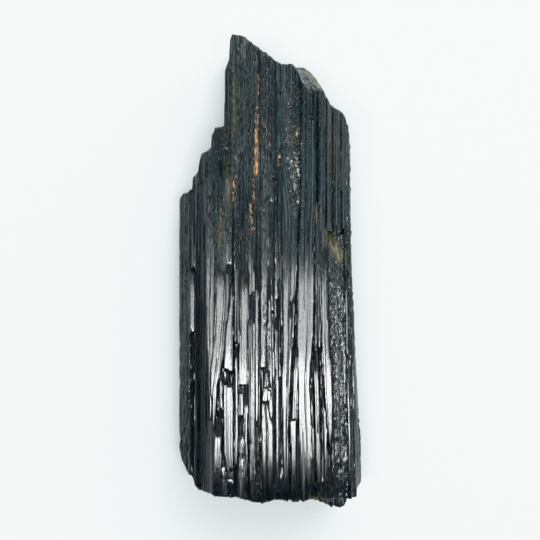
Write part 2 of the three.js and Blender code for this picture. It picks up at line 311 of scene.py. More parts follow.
def bites(at, every, depth, length):
    """Chips out of an edge: short triangular dips, one about `every` millimetres."""
    dips = np.zeros_like(at)
    for _ in range(RANDOM.poisson((at.max() - at.min()) / every)):
        middle = RANDOM.uniform(at.min(), at.max())
        reach = RANDOM.uniform(0.3, 1.0) * length
        deep = RANDOM.uniform(0.3, 1.0) * depth
        dips = np.maximum(dips, deep * (1.0 - np.abs(at - middle) / reach))
    return dips


def striae_profile(slope, half):
    """Heights across a facet: flat striae of uneven width that tilt a little to either side."""
    count = int(2 * half / 0.5) + 6
    knots = np.cumsum(RANDOM.uniform(0.3, 1.1, count))
    knots -= knots.mean()
    tilts = np.tan(np.radians(RANDOM.normal(0.0, slope, count - 1)))
    heights = np.concatenate([[0.0], np.cumsum(tilts * np.diff(knots))])
    heights -= np.polyval(np.polyfit(knots, heights, 1), knots)
    lines = np.flatnonzero(RANDOM.random(count) < NOTCHED)
    deep = RANDOM.uniform(0.04, 0.14, len(lines)) * min(1.0, slope / 3.0)
    at = np.concatenate([knots, knots[lines] - NOTCH_REACH, knots[lines] + NOTCH_REACH])
    level = np.concatenate([heights, heights[lines], heights[lines]])
    level[lines] += deep
    order = np.argsort(at)
    return at[order], level[order]


# --- The field ---


# Where a rib lies: its middle and crest over y, its roll, and where its count of striae starts.
Track = namedtuple("Track", "y middle crest cos sin start")


class Field:
    """How far each grid point lies outside the crystal (negative inside), and how rough it is there."""

    DRAFT = 0.16  # how much wider a rib gets for each millimetre below its facet

    def __init__(self):
        margin = 1.2
        self.low = np.array([-WIDTH / 2 - margin, PEAK - LENGTH - margin, -margin])
        high = np.array([WIDTH / 2 + 2 * margin, PEAK + margin, HEIGHT + margin])
        self.counts = np.ceil((high - self.low) / STEP).astype(int)
        self.x, self.y, self.z = (
            (self.low[i] + STEP[i] * np.arange(self.counts[i])).astype(np.float32) for i in range(3)
        )
        self.value = np.full(self.counts, 5.0, np.float32)
        self.rough = np.zeros(self.counts, np.float32)
        self.rib = np.zeros(self.counts, np.int16)
        self.tracks = []
        self.home = unfanned(self.x[:, None], self.y[None, :]).astype(np.float32)
        self.stria = self.noise(0.4, 16.0, 0.4)
        self.grain = self.noise(0.38, 0.65, 0.38)
        self.lump = self.noise(1.7, 3.0, 1.7)

    def noise(self, *pitch):
        """Smooth random values from -1 to 1 over the whole grid."""
        sizes = [int(self.counts[i] * STEP[i] / pitch[i]) + 3 for i in range(3)]
        values = RANDOM.uniform(-1.0, 1.0, sizes).astype(np.float32)
        for axis in range(3):
            at = np.arange(self.counts[axis]) * STEP[axis] / pitch[axis]
            below = at.astype(int)
            shape = [1, 1, 1]
            shape[axis] = -1
            part = smoothstep(at - below, 0.0, 1.0).astype(np.float32).reshape(shape)
            low = np.take(values, below, axis)
            values = low + (np.take(values, below + 1, axis) - low) * part
        return values

    def span(self, axis, low, high):
        """The slice of grid points between two coordinates."""
        first = int(max(0, math.floor((low - self.low[axis]) / STEP[axis])))
        last = int(min(self.counts[axis], math.ceil((high - self.low[axis]) / STEP[axis]) + 1))
        return slice(first, max(first, last))

    def add(self, here, value, rough):
        """Joins a solid, given over the sub-grid `here`, to the crystal."""
        wins = value < self.value[here]
        self.value[here] = np.where(wins, value, self.value[here])
        self.rough[here] = np.where(wins, rough, self.rough[here])
        self.rib[here] = np.where(wins, len(self.tracks), self.rib[here])

    def across(self, points, cells):
        """How far across its own rib each point lies, in millimetres from a different zero on each rib."""
        ribs = self.rib[cells]
        distance = points[:, 0] + 0.8 * points[:, 2]
        order = np.argsort(ribs, kind="stable")
        stops = np.searchsorted(ribs[order], np.arange(len(self.tracks) + 2))
        for number, track in enumerate(self.tracks, start=1):
            mine = order[stops[number]:stops[number + 1]]
            x, y, z = points[mine].T
            dx = x - np.interp(y, track.y, track.middle)
            dz = z - np.interp(y, track.y, track.crest)
            flat = dx * track.cos + dz * track.sin
            down = np.maximum(0.0, dx * track.sin - dz * track.cos)
            distance[mine] = track.start + flat + 0.7 * np.sign(flat) * down
        return distance

    def add_rib(self, stations, roll, look, depth=4.0, foot=FOOT, head=HEAD, sink=0.0):
        """Adds a rib. `stations` holds rows of y, middle x, facet z and half width of the facet."""
        rows = self.span(1, foot - 1.0, head + 1.0)
        y = self.y[rows]
        if len(y) < 2:
            return
        station_y, *tracks = np.array(sorted(stations)).T
        middle, crest, half = (np.interp(y, station_y, track) for track in tracks)
        crest = crest + wander(y, 9.0, 0.35 * look.waver) + wander(y, 2.5, 0.08 * look.waver)
        sinking = min(SINK_LENGTH, SINK_SHARE * (head - foot))
        crest = crest - sink * smoothstep(y, head - sinking, head)
        steady, differing = DROOP_SHARES
        droop = FOOT_DROOP * (steady + differing * math.sin(DROOP_TURNS * middle[0]))
        crest = crest - droop * smoothstep(-y, *DROOPS_OVER)
        sides = [
            half + wander(y, 5.0, look.waver) + wander(y, 0.9, JAGGED)
            - bites(y, 14.0, 3.0 * look.waver, 1.6)
            for _ in range(2)
        ]
        widest = half.max() + look.waver * 2 + self.DRAFT * depth
        turn = math.radians(roll)
        cos, sin = math.cos(turn), math.sin(turn)
        corners = [(a * cos - u * sin, a * sin + u * cos) for a in (-widest, widest) for u in (0.4, -depth)]
        reach_x, reach_z = zip(*corners)
        columns = self.span(0, middle.min() + min(reach_x), middle.max() + max(reach_x))
        levels = self.span(2, crest.min() + min(reach_z), crest.max() + max(reach_z))
        here = (columns, rows, levels)
        dx = self.x[columns][:, None, None] - middle[None, :, None]
        dz = self.z[levels][None, None, :] - crest[None, :, None]
        across = (dx * cos + dz * sin).astype(np.float32)
        up = (dz * cos - dx * sin).astype(np.float32)
        blend = (0.5 + wander(y, 12.0, 0.5))[None, :, None]
        profile = sum(
            np.interp(across, *striae_profile(look.striae, half.max())) * part
            for part in (blend, 1.0 - blend)
        )
        ragged = look.rough * (0.9 * self.grain[here] + 0.25 * self.lump[here])
        top = up + profile + ragged
        side = np.maximum(across - sides[0][None, :, None], -across - sides[1][None, :, None])
        side += self.DRAFT * up + 0.5 * ragged
        slopes = RANDOM.uniform([-0.5, -0.2, -0.5, -0.2], [0.5, 0.1, 0.5, 0.1])
        broken = 0.2 * self.grain[here]
        ahead = y[None, :, None] - (head + slopes[0] * across + slopes[1] * up)
        behind = (foot + slopes[2] * across + slopes[3] * up) - y[None, :, None]
        ends = np.maximum(ahead, behind) + broken
        value = np.maximum(np.maximum(top, side), np.maximum(ends, -up - depth))
        self.tracks.append(Track(y, middle, crest, cos, sin, RANDOM.uniform(20.0, 900.0)))
        self.add(here, value, look.rough)


def crown_ribs(field):
    for facet in (Facet(*row) for row in CROWN):
        steepness = math.cos(math.radians(facet.roll))
        stations = [
            (y, (left + right) / 2, facet.crest, (right - left) / 2 / steepness + OVERLAP)
            for y, left, right in facet.edges
        ]
        foot, head = facet.edges[0][0], facet.edges[-1][0]
        field.add_rib(stations, facet.roll, facet.look, foot=foot, head=head, sink=facet.sink)


def segments():
    """Cuts a rib's length at random into one to three stretches."""
    cuts = np.sort(RANDOM.uniform(-40.0, 40.0, RANDOM.integers(0, 3)))
    return list(zip([FOOT, *cuts], [*cuts, HEAD]))


def side_ribs(field, corners, widths, sinks, share, looks=FLANK_LOOKS):
    """Ribs of uneven width side by side along the given corners of the section."""
    stops = np.linspace(FOOT, HEAD, 7)
    for (x0, z0), (x1, z1) in zip(corners[:-1], corners[1:]):
        run = math.hypot(x1 - x0, z1 - z0)
        out_x, out_z = -(z1 - z0) / run, (x1 - x0) / run
        roll = math.degrees(math.atan2(-out_x, out_z))
        gone = 0.0
        while gone < run:
            width = min(RANDOM.uniform(*widths), run - gone + 0.2)
            part = (gone + width / 2) / run
            gone += width
            if RANDOM.random() > share:
                continue
            turn = roll + RANDOM.uniform(-10.0, 10.0)
            look = looks[RANDOM.integers(len(looks))]
            for foot, head in segments():
                sink = RANDOM.uniform(*sinks)
                x = x0 + (x1 - x0) * part - out_x * sink
                z = z0 + (z1 - z0) * part - out_z * sink
                stations = [(y, fanned(x, y), z, width / 2) for y in stops]
                field.add_rib(stations, turn, look, foot=foot, head=head, sink=0.2)


def wall_ribs(field):
    """Ribs up the bare wall of the tall half, facing left."""
    wall_x, low, high, start = WALL
    z = low
    while z < high:
        width = RANDOM.uniform(0.7, 2.4)
        x = wall_x + RANDOM.uniform(0.0, 0.9)
        head = along(HEAD_LINE, wall_x + 1.0) - RANDOM.uniform(0.0, 5.0)
        stations = [(y, x, min(z + width / 2, high), width / 2) for y in (start, HEAD)]
        field.add_rib(stations, 90 + RANDOM.uniform(-14, 14), STRIATED, depth=3.0, foot=start, head=head)
        z += width


def core(field):
    """The grown-together middle of the bundle, below the ribs."""
    everywhere = (slice(None),) * 3
    value = np.full(field.counts, -9.0, np.float32)
    home = field.home[:, :, None]
    z = field.z[None, None, :]
    for (x0, z0), (x1, z1) in zip(SECTION, SECTION[1:] + SECTION[:1]):
        run = math.hypot(x1 - x0, z1 - z0)
        outward = ((z - z0) * (x1 - x0) - (home - x0) * (z1 - z0)) / run
        value = np.maximum(value, outward + CORE_INSET)
    value += 0.5 * field.lump + 0.2 * field.grain
    field.add(everywhere, value, GRAINY.rough)


def prism_steps(field, tallest):
    """How much shorter than the broken end each prism of the bundle is, over (home x, z)."""
    count = 260
    seeds = np.stack([
        RANDOM.uniform(SECTION[0][0], SECTION[9][0], count),
        RANDOM.uniform(0.0, HEIGHT, count),
    ])
    heights = RANDOM.uniform(0.0, tallest, count) ** 1.5
    home = np.arange(field.x[0] - 3.0, field.x[-1] + 3.0, STEP[0])
    gaps = (home[:, None, None] - seeds[0]) ** 2 + (field.z[None, :, None] - seeds[1]) ** 2
    return home[0], heights[np.argmin(gaps, axis=2)].astype(np.float32)


def ends(field):
    """Breaks the bundle off at its head and its foot."""
    home = field.home[:, :, None]
    y = field.y[None, :, None]
    z = field.z[None, None, :]
    crown = np.minimum(along(SECTION[:FIRST_UNDER_SIDE], home), HEAD_SLANT_FROM)
    under_crown = smoothstep(crown - z, 0.5, 5.0)
    slant = along(HEAD_SLANT, home)
    slanted = slant * np.maximum(0.0, z - HEAD_SLANT_FROM)
    limits = []
    for line in (HEAD_LINE, FOOT_LINE):
        start, heights = prism_steps(field, 1.6)
        column = np.clip(((field.home - start) / STEP[0]).astype(int), 0, len(heights) - 1)
        steps = heights[column][:, :, : len(field.z)]
        limits.append((along(line, home), steps * (0.15 + 0.85 * under_crown)))
    (head, head_steps), (foot, foot_steps) = limits
    beside = (home > LIP_LINE[0][0]) & (home < LIP_LINE[-1][0])
    lip = np.maximum(0.0, foot - along(LIP_LINE, home)) * beside * (z < LIP_BELOW)
    ahead = y - (head - slanted - head_steps)
    behind = (foot - lip + foot_steps) - y
    broken = 0.30 * field.grain + 0.25 * field.lump * under_crown
    value = (np.maximum(ahead, behind) + broken).astype(np.float32)
    field.rough = np.where(value > field.value, ROUGH.rough, field.rough)
    field.value = np.maximum(field.value, value)


def trim(field):
    """Cuts the lowest ribs flat where the crystal lies, and every rib at the overall size."""
    limits = ((LEFT, RIGHT), (PEAK - LENGTH, PEAK), (0.0, HEIGHT))
    for axis, (low, high) in enumerate(limits):
        shape = [1, 1, 1]
        shape[axis] = -1
        at = (field.x, field.y, field.z)[axis].reshape(shape)
        np.maximum(field.value, low - at, out=field.value)
        np.maximum(field.value, at - high, out=field.value)


# --- From field to mesh ---


def surface(field):
    """The field's zero surface as points and quads: one point in each cell that it passes through."""
    value = field.value
    inside = value < 0.0
    cells = np.array(value.shape) - 1
    corner = {}
    for offset in np.ndindex(2, 2, 2):
        corner[offset] = tuple(slice(o, o + n) for o, n in zip(offset, cells))
    total = sum(inside[part].astype(np.int8) for part in corner.values())
    active = np.argwhere((total > 0) & (total < 8))
    number = np.full(cells, -1, np.int32)
    number[tuple(active.T)] = np.arange(len(active))
    points = np.zeros((len(active), 3))
    crossings = np.zeros(len(active))
    for start in corner:
        for axis in range(3):
            if start[axis]:
                continue
            end = list(start)
            end[axis] = 1
            a = value[tuple((active + start).T)]
            b = value[tuple((active + end).T)]
            crossed = (a < 0.0) != (b < 0.0)
            part = np.where(crossed, a / np.where(crossed, a - b, 1.0), 0.0)
            place = np.array(start, float)[None, :].repeat(len(active), axis=0)
            place[:, axis] = part
            points += place * crossed[:, None]
            crossings += crossed
    points = (points / crossings[:, None] + active) * STEP + field.low
    quads = []
    for axis in range(3):
        ahead = tuple(slice(1, None) if i == axis else slice(1, -1) for i in range(3))
        behind = tuple(slice(0, -1) if i == axis else slice(1, -1) for i in range(3))
        change = inside[ahead].astype(np.int8) - inside[behind].astype(np.int8)
        first, second = ((axis + 1) % 3, (axis + 2) % 3)
        for sign in (1, -1):
            edge = np.argwhere(change == sign) + np.array([i != axis for i in range(3)])
            ring = []
            for back in ((1, 1), (0, 1), (0, 0), (1, 0)):
                cell = edge.copy()
                cell[:, first] -= back[0]
                cell[:, second] -= back[1]
                ring.append(number[tuple(cell.T)])
            ring = ring if sign < 0 else ring[::-1]
            quads.append(np.stack(ring, axis=1))
    return points, np.concatenate(quads)


def largest_part(points, quads):
    """Drops whatever shares no point with the crystal."""
    label = np.arange(len(points))
    while True:
        lowest = label[quads].min(axis=1)
        joined = label.copy()
        for corner in range(4):
            np.minimum.at(joined, quads[:, corner], lowest)
        joined = joined[joined]
        if np.array_equal(joined, label):
            break
        label = joined
    kept = label == np.bincount(label).argmax()
    number = np.cumsum(kept) - 1
    return points[kept], number[quads[kept[quads].all(axis=1)]]


# --- The piece ---

# Strokes on the crown: x, y of one end, x, y of the other end, half width, strength. The first two are
# stains, PITTED is broken and gritty, and DULLED is dusty.
RUST = [
    (-2.3, 40.0, -2.4, 35.5, 0.35, 0.80), (-2.6, 34.8, -2.8, 31.5, 0.35, 0.75),
    (-2.7, 32.0, -2.8, 26.0, 0.65, 0.98), (-2.7, 27.0, -2.9, 19.5, 0.80, 1.05),
    (-3.3, 17.5, -3.2, 13.5, 0.35, 0.95),
    (-4.0, 13.5, -3.8, 10.5, 0.5, 0.85), (-4.3, 11.0, -3.2, 7.5, 0.8, 0.8),
    (-4.6, 7.0, -4.6, 4.0, 0.35, 0.7), (-7.6, 30.0, -7.7, 26.0, 0.5, 0.65),
    (-7.0, 24.5, -7.2, 14.5, 0.7, 0.7), (-7.4, 19.0, -7.5, 14.0, 0.30, 1.0),
    (-9.6, 14.5, -9.9, 10.5, 0.3, 1.0), (-1.0, 30.0, -0.8, 25.0, 1.0, 0.6),
    (-1.1, 24.0, -0.9, 21.5, 0.7, 0.6), (1.6, 23.5, 1.7, 21.5, 0.45, 0.85),
    (5.5, 21.0, 5.6, 20.0, 0.45, 0.9), (-2.4, -31.0, -2.3, -46.0, 0.6, 0.6),
    (9.0, 39.2, 10.0, 37.6, 0.8, 0.85), (11.4, 37.6, 12.6, 34.6, 0.7, 0.85),
]
OCHRE = [
    (11.8, 7.0, 14.4, 2.5, 1.3, 1.0), (-8.7, 22.0, -8.4, 15.0, 0.7, 0.5),
    (-10.0, 11.0, -10.6, 3.5, 0.5, 0.5), (-7.5, 40.0, -7.2, 28.0, 0.4, 0.5),
    (6.6, 41.6, 9.6, 39.9, 0.6, 1.0), (9.6, 39.4, 10.9, 37.6, 0.7, 0.9),
    (11.4, 37.4, 12.8, 35.0, 0.6, 1.0), (9.2, 12.5, 9.3, 10.0, 0.4, 0.6),
    (9.6, 8.0, 9.7, 4.0, 0.4, 0.4), (-5.6, -1.0, -6.2, -10.0, 0.3, 0.4),
    (8.5, -46.5, 11.0, -47.0, 0.8, 0.5),
]
PITTED = [
    (3.5, 38.0, 5.4, 13.0, 2.4, 0.75), (-0.6, 41.0, -0.6, 25.0, 1.6, 0.6),
    (5.9, 29.0, 6.0, 22.0, 0.7, 1.0), (13.4, 4.0, 14.4, -42.0, 1.8, 1.0),
    (-1.0, -6.0, -0.4, -21.0, 0.8, 0.8), (-8.6, 20.0, -9.5, 14.0, 1.4, 0.5),
    (-18.2, 14.0, -18.2, -36.0, 1.1, 0.8),
]
DULLED = [
    (-6.0, 46.0, -5.5, 20.0, 4.0, 0.7), (-12.3, 18.0, -12.3, -2.0, 0.9, 1.3),
    (-8.5, 18.0, -9.0, 0.0, 1.6, 0.5), (-1.0, 22.0, -0.6, 2.0, 1.8, 1.0),
]
STROKES_FADE = (9.0, 13.0)  # from which z to which z the strokes set in


def strokes(points, rows):
    """How strongly each point is painted by strokes seen from above."""
    painted = np.zeros(len(points))
    for x0, y0, x1, y1, radius, strength in rows:
        run = np.array([x1 - x0, y1 - y0])
        offset = points[:, :2] - (x0, y0)
        part = np.clip(offset @ run / (run @ run), 0.0, 1.0)
        away = np.linalg.norm(offset - part[:, None] * run, axis=1)
        painted = np.maximum(painted, strength * (1.0 - smoothstep(away, 0.2 * radius, 1.2 * radius)))
    return painted * smoothstep(points[:, 2], *STROKES_FADE)


def add_object(name, data):
    added = bpy.data.objects.new(name, data)
    bpy.context.scene.collection.objects.link(added)
    return added


def modified(mesh, kind, **settings):
    """The mesh after one modifier, in place of the mesh itself."""
    before = add_object("before", mesh)
    modifier = before.modifiers.new(kind, kind)
    for name, value in settings.items():
        setattr(modifier, name, value)
    settled = bpy.context.evaluated_depsgraph_get()
    after = bpy.data.meshes.new_from_object(before.evaluated_get(settled))
    bpy.data.objects.remove(before)
    bpy.data.meshes.remove(mesh)
    return after


def without_crumbs(mesh):
    """Drops tiny shells that no edge with exactly two faces joins to the crystal."""
    shape = bmesh.new()
    shape.from_mesh(mesh)
    seen = set()
    crumbs = []
    for first in shape.faces:
        if first in seen:
            continue
        seen.add(first)
        shell = [first]
        for face in shell:
            for edge in face.edges:
                if len(edge.link_faces) != 2:
                    continue
                for beside in edge.link_faces:
                    if beside not in seen:
                        seen.add(beside)
                        shell.append(beside)
        if len(shell) < FEWEST_FACES:
            crumbs += shell
    bmesh.ops.delete(shape, geom=crumbs, context="FACES")
    shape.to_mesh(mesh)
    shape.free()


def smoothed(mesh):
    """Smooth shading that keeps creases sharp and leaves wide facets flat right up to their edges."""
    mesh.shade_smooth()
    mesh.set_sharp_from_angle(angle=math.radians(CREASE))
    return modified(mesh, "WEIGHTED_NORMAL", mode="FACE_AREA", weight=60, keep_sharp=True)


def positions(mesh):
    flat = np.empty(3 * len(mesh.vertices), np.float32)
    mesh.vertices.foreach_get("co", flat)
    return flat.reshape(-1, 3).astype(float)


def paint(mesh, name, values):
    layer = mesh.attributes.new(name, "FLOAT", "POINT")
    layer.data.foreach_set("value", values.astype(np.float32))


def grown_crystal():
    """The crystal as a mesh in its own millimetres, with its stains and roughness painted on."""
    field = Field()
    core(field)
    flanks = SECTION[FIRST_UNDER_SIDE - 1:] + SECTION[:2]
    side_ribs(field, flanks, widths=(0.9, 2.8), sinks=(0.0, 0.8), share=1.0)
    side_ribs(field, flanks, widths=(0.3, 0.9), sinks=(-0.1, 0.5), share=0.4)
    under_crown = SECTION[2:FIRST_UNDER_SIDE + 1]
    side_ribs(field, under_crown, widths=(0.4, 1.3), sinks=(0.9, 1.5), share=1.0, looks=[STRIATED])
    wall_ribs(field)
    crown_ribs(field)
    field.value += 0.035 * field.stria
    ends(field)
    trim(field)
    points, quads = largest_part(*surface(field))
    mesh = bpy.data.meshes.new("crystal_schorl")
    mesh.from_pydata(points.tolist(), [], quads.tolist())
    triangles = sum(len(polygon.vertices) - 2 for polygon in mesh.polygons)
    mesh = modified(mesh, "DECIMATE", ratio=min(1.0, MOST_TRIANGLES / triangles))
    without_crumbs(mesh)
    points = positions(mesh)
    cell = np.clip(((points - field.low) / STEP).round().astype(int), 0, field.counts - 1)
    cell = tuple(cell.T)
    rough = field.rough[cell] / GRAINY.rough
    paint(mesh, "across", field.across(points, cell))
    paint(mesh, "broken", np.maximum(rough, strokes(points, PITTED)))
    paint(mesh, "rust", strokes(points, RUST))
    paint(mesh, "ochre", strokes(points, OCHRE))
    paint(mesh, "dulled", strokes(points, DULLED))
    return mesh


def placed(mesh, box):
    """Moves and scales the mesh from its own millimetres to fill the box. Returns the shift."""
    points = positions(mesh)
    low, high = (np.array(side) for side in box)
    own_low, own_high = points.min(axis=0), points.max(axis=0)
    scale = (high - low) / (own_high - own_low)
    shift = low - own_low * scale
    mesh.vertices.foreach_set("co", (points * scale + shift).ravel().astype(np.float32))
    mesh.update()
    return shift


# --- Materials ---

# Linear colours with alpha. A pair is a dark tone and a light one.
DARK = (0.000, 0.001, 0.003, 1.0)
BARE = (DARK, (0.001, 0.005, 0.008, 1.0))
FILMED = (DARK, (0.008, 0.027, 0.034, 1.0))
GRITTY = (DARK, (0.006, 0.019, 0.021, 1.0))
RUSTY = ((0.20, 0.07, 0.04, 1.0), (0.68, 0.34, 0.11, 1.0))
BROWNED = (0.026, 0.022, 0.010, 1.0)
DUSTY = (0.062, 0.072, 0.070, 1.0)
OLIVE = (0.085, 0.080, 0.035, 1.0)
# Pale flecks on the chips: painted glints that stand in for the sparkle of broken grains.
GLINT_FLECKS = (0.10, 0.12, 0.12, 1.0)
OCHRE_COLOR = (0.20, 0.165, 0.055, 1.0)
PAPER = ((0.83, 0.86, 0.855, 1.0), (0.87, 0.90, 0.895, 1.0))

FILM = (-25.0, 20.0)  # from which y to which y in mm the dull film of the head half sets in

# Striae: mean width in mm, steepest slope, and depth in mm of the grooves beside some of them.
BROAD_STRIAE = (0.55, 0.07, 0.09)
FINE_STRIAE = (0.17, 0.08, 0.0)
GROOVE_WIDTH = 0.16  # of such a groove in mm
STRIA_CHANGES = 0.03  # how often a strip changes its tilt and tone, for each mm along it
STRIA_UNEVEN = 2.4  # how uneven the widths of the strips are

# Relief of the broken places: sizes and depths in mm, and how steep the chips and flakes are.
CHIP_SIZE = 0.23
CHIP_RELIEF = 0.20
FLAKE_SIZE = 0.6
FLAKE_RELIEF = 0.14
GRIT_DEPTH = 0.04
PIT_DEPTH = 0.025

# Gloss: the roughness of clean stone, and what dull strips, dull fibres and stains add to it.
GLASSY = 0.10
DULL_STRIPS = 0.26
DULL_FIBRES = 0.10
DULL_STAINS = 0.35
REFRACTION = 1.52
ANISOTROPY = 0.8


class Nodes:
    """Short ways to add shader nodes and links to one node tree."""

    def __init__(self, owner):
        owner.use_nodes = True
        self.tree = owner.node_tree
        self.tree.nodes.clear()

    def add(self, kind, **inputs):
        node = self.tree.nodes.new(kind)
        for name, value in inputs.items():
            self.set(node, name.replace("_", " ").strip(), value)
        return node

    def set(self, node, name, value):
        socket = node.inputs[int(name)] if name.isdigit() else node.inputs[name]
        if isinstance(value, bpy.types.NodeSocket):
            self.tree.links.new(value, socket)
        else:
            socket.default_value = value

    def math(self, operation, a, b=0.0, c=0.0, clamp=False):
        node = self.tree.nodes.new("ShaderNodeMath")
        node.operation = operation
        node.use_clamp = clamp
        for index, value in enumerate((a, b, c)):
            self.set(node, str(index), value)
        return node.outputs[0]

    def times(self, a, b):
        return self.math("MULTIPLY", a, b)

    def times_plus(self, a, b, c, clamp=False):
        return self.math("MULTIPLY_ADD", a, b, c, clamp)

    def ramp(self, factor, low, high):
        """0 below `low`, 1 above `high`, and smooth between."""
        node = self.add("ShaderNodeMapRange", Value=factor, From_Min=low, From_Max=high)
        node.interpolation_type = "SMOOTHSTEP"
        return node.outputs[0]

    def mix(self, factor, a, b):
        node = self.tree.nodes.new("ShaderNodeMix")
        node.data_type = "RGBA"
        for index, value in ((0, factor), (6, a), (7, b)):
            self.set(node, str(index), value)
        return node.outputs[2]

    def vector(self, operation, a, b):
        node = self.tree.nodes.new("ShaderNodeVectorMath")
        node.operation = operation
        self.set(node, "0", a)
        self.set(node, "1", b)
        return node.outputs["Value" if operation == "DOT_PRODUCT" else "Vector"]

    def noise(self, vector, scale, detail=3.0, roughness=0.55):
        node = self.add("ShaderNodeTexNoise", Vector=vector, Scale=scale, Detail=detail, Roughness=roughness)
        return node.outputs["Fac"]

    def attribute(self, name):
        node = self.tree.nodes.new("ShaderNodeAttribute")
        node.attribute_name = name
        return node.outputs["Fac"]

    def bump(self, height, distance, normal=None):
        node = self.add("ShaderNodeBump", Strength=1.0, Distance=distance, Height=height)
        if normal is not None:
            self.set(node, "Normal", normal)
        return node.outputs[0]


def striae(nodes, across, length, pitch, slope, groove):
    """Flat strips of uneven width, each tilted by its own small angle: their heights and a random tone.

    `across` and `length` are millimetres, `pitch` is the mean width of a strip and `slope` the steepest
    tilt. A groove `groove` millimetres deep runs beside some of the strips.
    """
    along_it = nodes.times(length, STRIA_CHANGES)
    place = nodes.add("ShaderNodeCombineXYZ", X=nodes.times(across, 0.6 / pitch), Y=along_it)
    uneven = nodes.noise(place.outputs[0], 1.0, detail=1.0)
    count = nodes.times_plus(across, 1.0 / pitch, nodes.times(uneven, STRIA_UNEVEN))
    strip = nodes.math("FLOOR", count)
    part = nodes.math("FRACT", count)
    alone = nodes.add("ShaderNodeCombineXYZ", X=strip)
    start = nodes.add("ShaderNodeTexWhiteNoise", Vector=alone.outputs[0]).outputs["Value"]
    reach = nodes.times_plus(length, STRIA_CHANGES, nodes.times(start, 9.0))
    stretch = nodes.add("ShaderNodeCombineXYZ", X=strip, Y=nodes.math("FLOOR", reach))
    chance = nodes.add("ShaderNodeTexWhiteNoise", Vector=stretch.outputs[0])
    tilt = nodes.math("SUBTRACT", chance.outputs["Value"], 0.5)
    height = nodes.times(nodes.times(tilt, part), 2.0 * slope * pitch * MM)
    _, tone, grooved = nodes.add("ShaderNodeSeparateColor", Color=chance.outputs["Color"]).outputs
    beside = nodes.math("SUBTRACT", 1.0, nodes.times(part, pitch / GROOVE_WIDTH), clamp=True)
    beside = nodes.times(beside, nodes.ramp(grooved, 0.35, 0.8))
    return nodes.times_plus(beside, -groove * MM, height), tone


def crumbs(nodes, place, size):
    """Small flat chips that face every way: their heights for slopes of up to about 45 degrees."""
    cells = nodes.add("ShaderNodeTexVoronoi", Vector=place, Scale=1.0 / (size * MM))
    offset = nodes.vector("SUBTRACT", place, cells.outputs["Position"])
    facing = nodes.vector("SUBTRACT", cells.outputs["Color"], (0.5, 0.5, 0.5))
    tone = nodes.add("ShaderNodeSeparateColor", Color=cells.outputs["Color"]).outputs[2]
    return nodes.vector("DOT_PRODUCT", offset, facing), tone


def schorl_patterns(nodes):
    """The random patterns that the crystal's colour, gloss and relief share."""
    place = nodes.add("ShaderNodeTexCoord").outputs["Object"]

    def drawn_out(share):
        """Space in which a pattern gets 1 / `share` times as long along the prisms."""
        return nodes.vector("MULTIPLY", place, (1.0, share, 1.0))

    on = SimpleNamespace()
    on.length = nodes.times(nodes.add("ShaderNodeSeparateXYZ", Vector=place).outputs[1], 1.0 / MM)
    across = nodes.attribute("across")
    on.broad, _ = striae(nodes, across, on.length, *BROAD_STRIAE)
    on.fine, on.fine_tone = striae(nodes, across, on.length, *FINE_STRIAE)
    on.chips, on.chip_tone = crumbs(nodes, drawn_out(0.5), CHIP_SIZE)
    on.flakes, _ = crumbs(nodes, drawn_out(0.7), FLAKE_SIZE)
    on.grit = nodes.noise(drawn_out(0.7), 2400.0, 3.0, 0.6)
    on.fibre = nodes.noise(drawn_out(0.22), 4200.0, 2.0, 0.7)
    on.specks = nodes.noise(drawn_out(0.6), 5200.0, 1.0)
    on.tint = nodes.noise(drawn_out(0.15), 420.0, 5.0, 0.65)
    on.streak = nodes.noise(drawn_out(0.28), 3600.0, 4.0, 0.75)
    on.cloud = nodes.noise(place, 160.0, 4.0)
    on.broken = nodes.times_plus(on.cloud, 0.5, nodes.attribute("broken"))
    on.broken = nodes.ramp(on.broken, 0.35, 1.1)
    return on


def clean_color(nodes, on):
    """The stone itself: a thin film dulls the head half and leaves the foot half bare. Pale flecks on the
    chips of the broken places are painted glints.
    """
    film = nodes.ramp(on.length, *FILM)
    mottle = nodes.ramp(nodes.times_plus(on.fine_tone, 0.4, on.fibre), 0.62, 0.84)
    whole = nodes.mix(film, nodes.mix(mottle, *BARE), nodes.mix(mottle, *FILMED))
    color = nodes.mix(on.broken, whole, nodes.mix(nodes.ramp(on.grit, 0.38, 0.65), *GRITTY))
    color = nodes.mix(nodes.ramp(on.tint, 0.56, 0.74), color, BROWNED)
    dull = nodes.times(nodes.attribute("dulled"), nodes.ramp(on.fibre, 0.38, 0.62))
    color = nodes.mix(nodes.times(dull, 0.8), color, DUSTY)
    olive = nodes.times(nodes.ramp(on.specks, 0.62, 0.68), nodes.ramp(on.tint, 0.48, 0.60))
    color = nodes.mix(nodes.times(olive, film), color, OLIVE)
    # Pale flecks on some chips of the broken places: painted glints.
    painted_glints = nodes.times_plus(on.broken, 0.6, 0.05)
    painted_glints = nodes.times(nodes.ramp(on.chip_tone, 0.89, 0.95), painted_glints)
    return nodes.mix(painted_glints, color, GLINT_FLECKS)


def stained_color(nodes, on, color):
    """Adds the rust and the ochre, and says how stained each place is."""
    painted = nodes.attribute("rust")
    rust = nodes.ramp(nodes.times_plus(on.streak, 3.2, painted), 2.45, 2.65)
    rust = nodes.times(rust, nodes.ramp(painted, 0.02, 0.3))
    color = nodes.mix(rust, color, nodes.mix(nodes.ramp(on.streak, 0.42, 0.62), *RUSTY))
    ochre = nodes.times(nodes.attribute("ochre"), nodes.ramp(on.streak, 0.40, 0.62))
    return nodes.mix(ochre, color, OCHRE_COLOR), nodes.math("MAXIMUM", rust, ochre)


def schorl_roughness(nodes, on, stained):
    """Glassy, but for some of the fine strips, some fibres and the stains."""
    rough = nodes.times_plus(nodes.ramp(on.fine_tone, 0.90, 0.94), DULL_STRIPS, GLASSY)
    rough = nodes.times_plus(nodes.ramp(on.fibre, 0.58, 0.68), DULL_FIBRES, rough)
    return nodes.times_plus(stained, DULL_STAINS, rough, clamp=True)


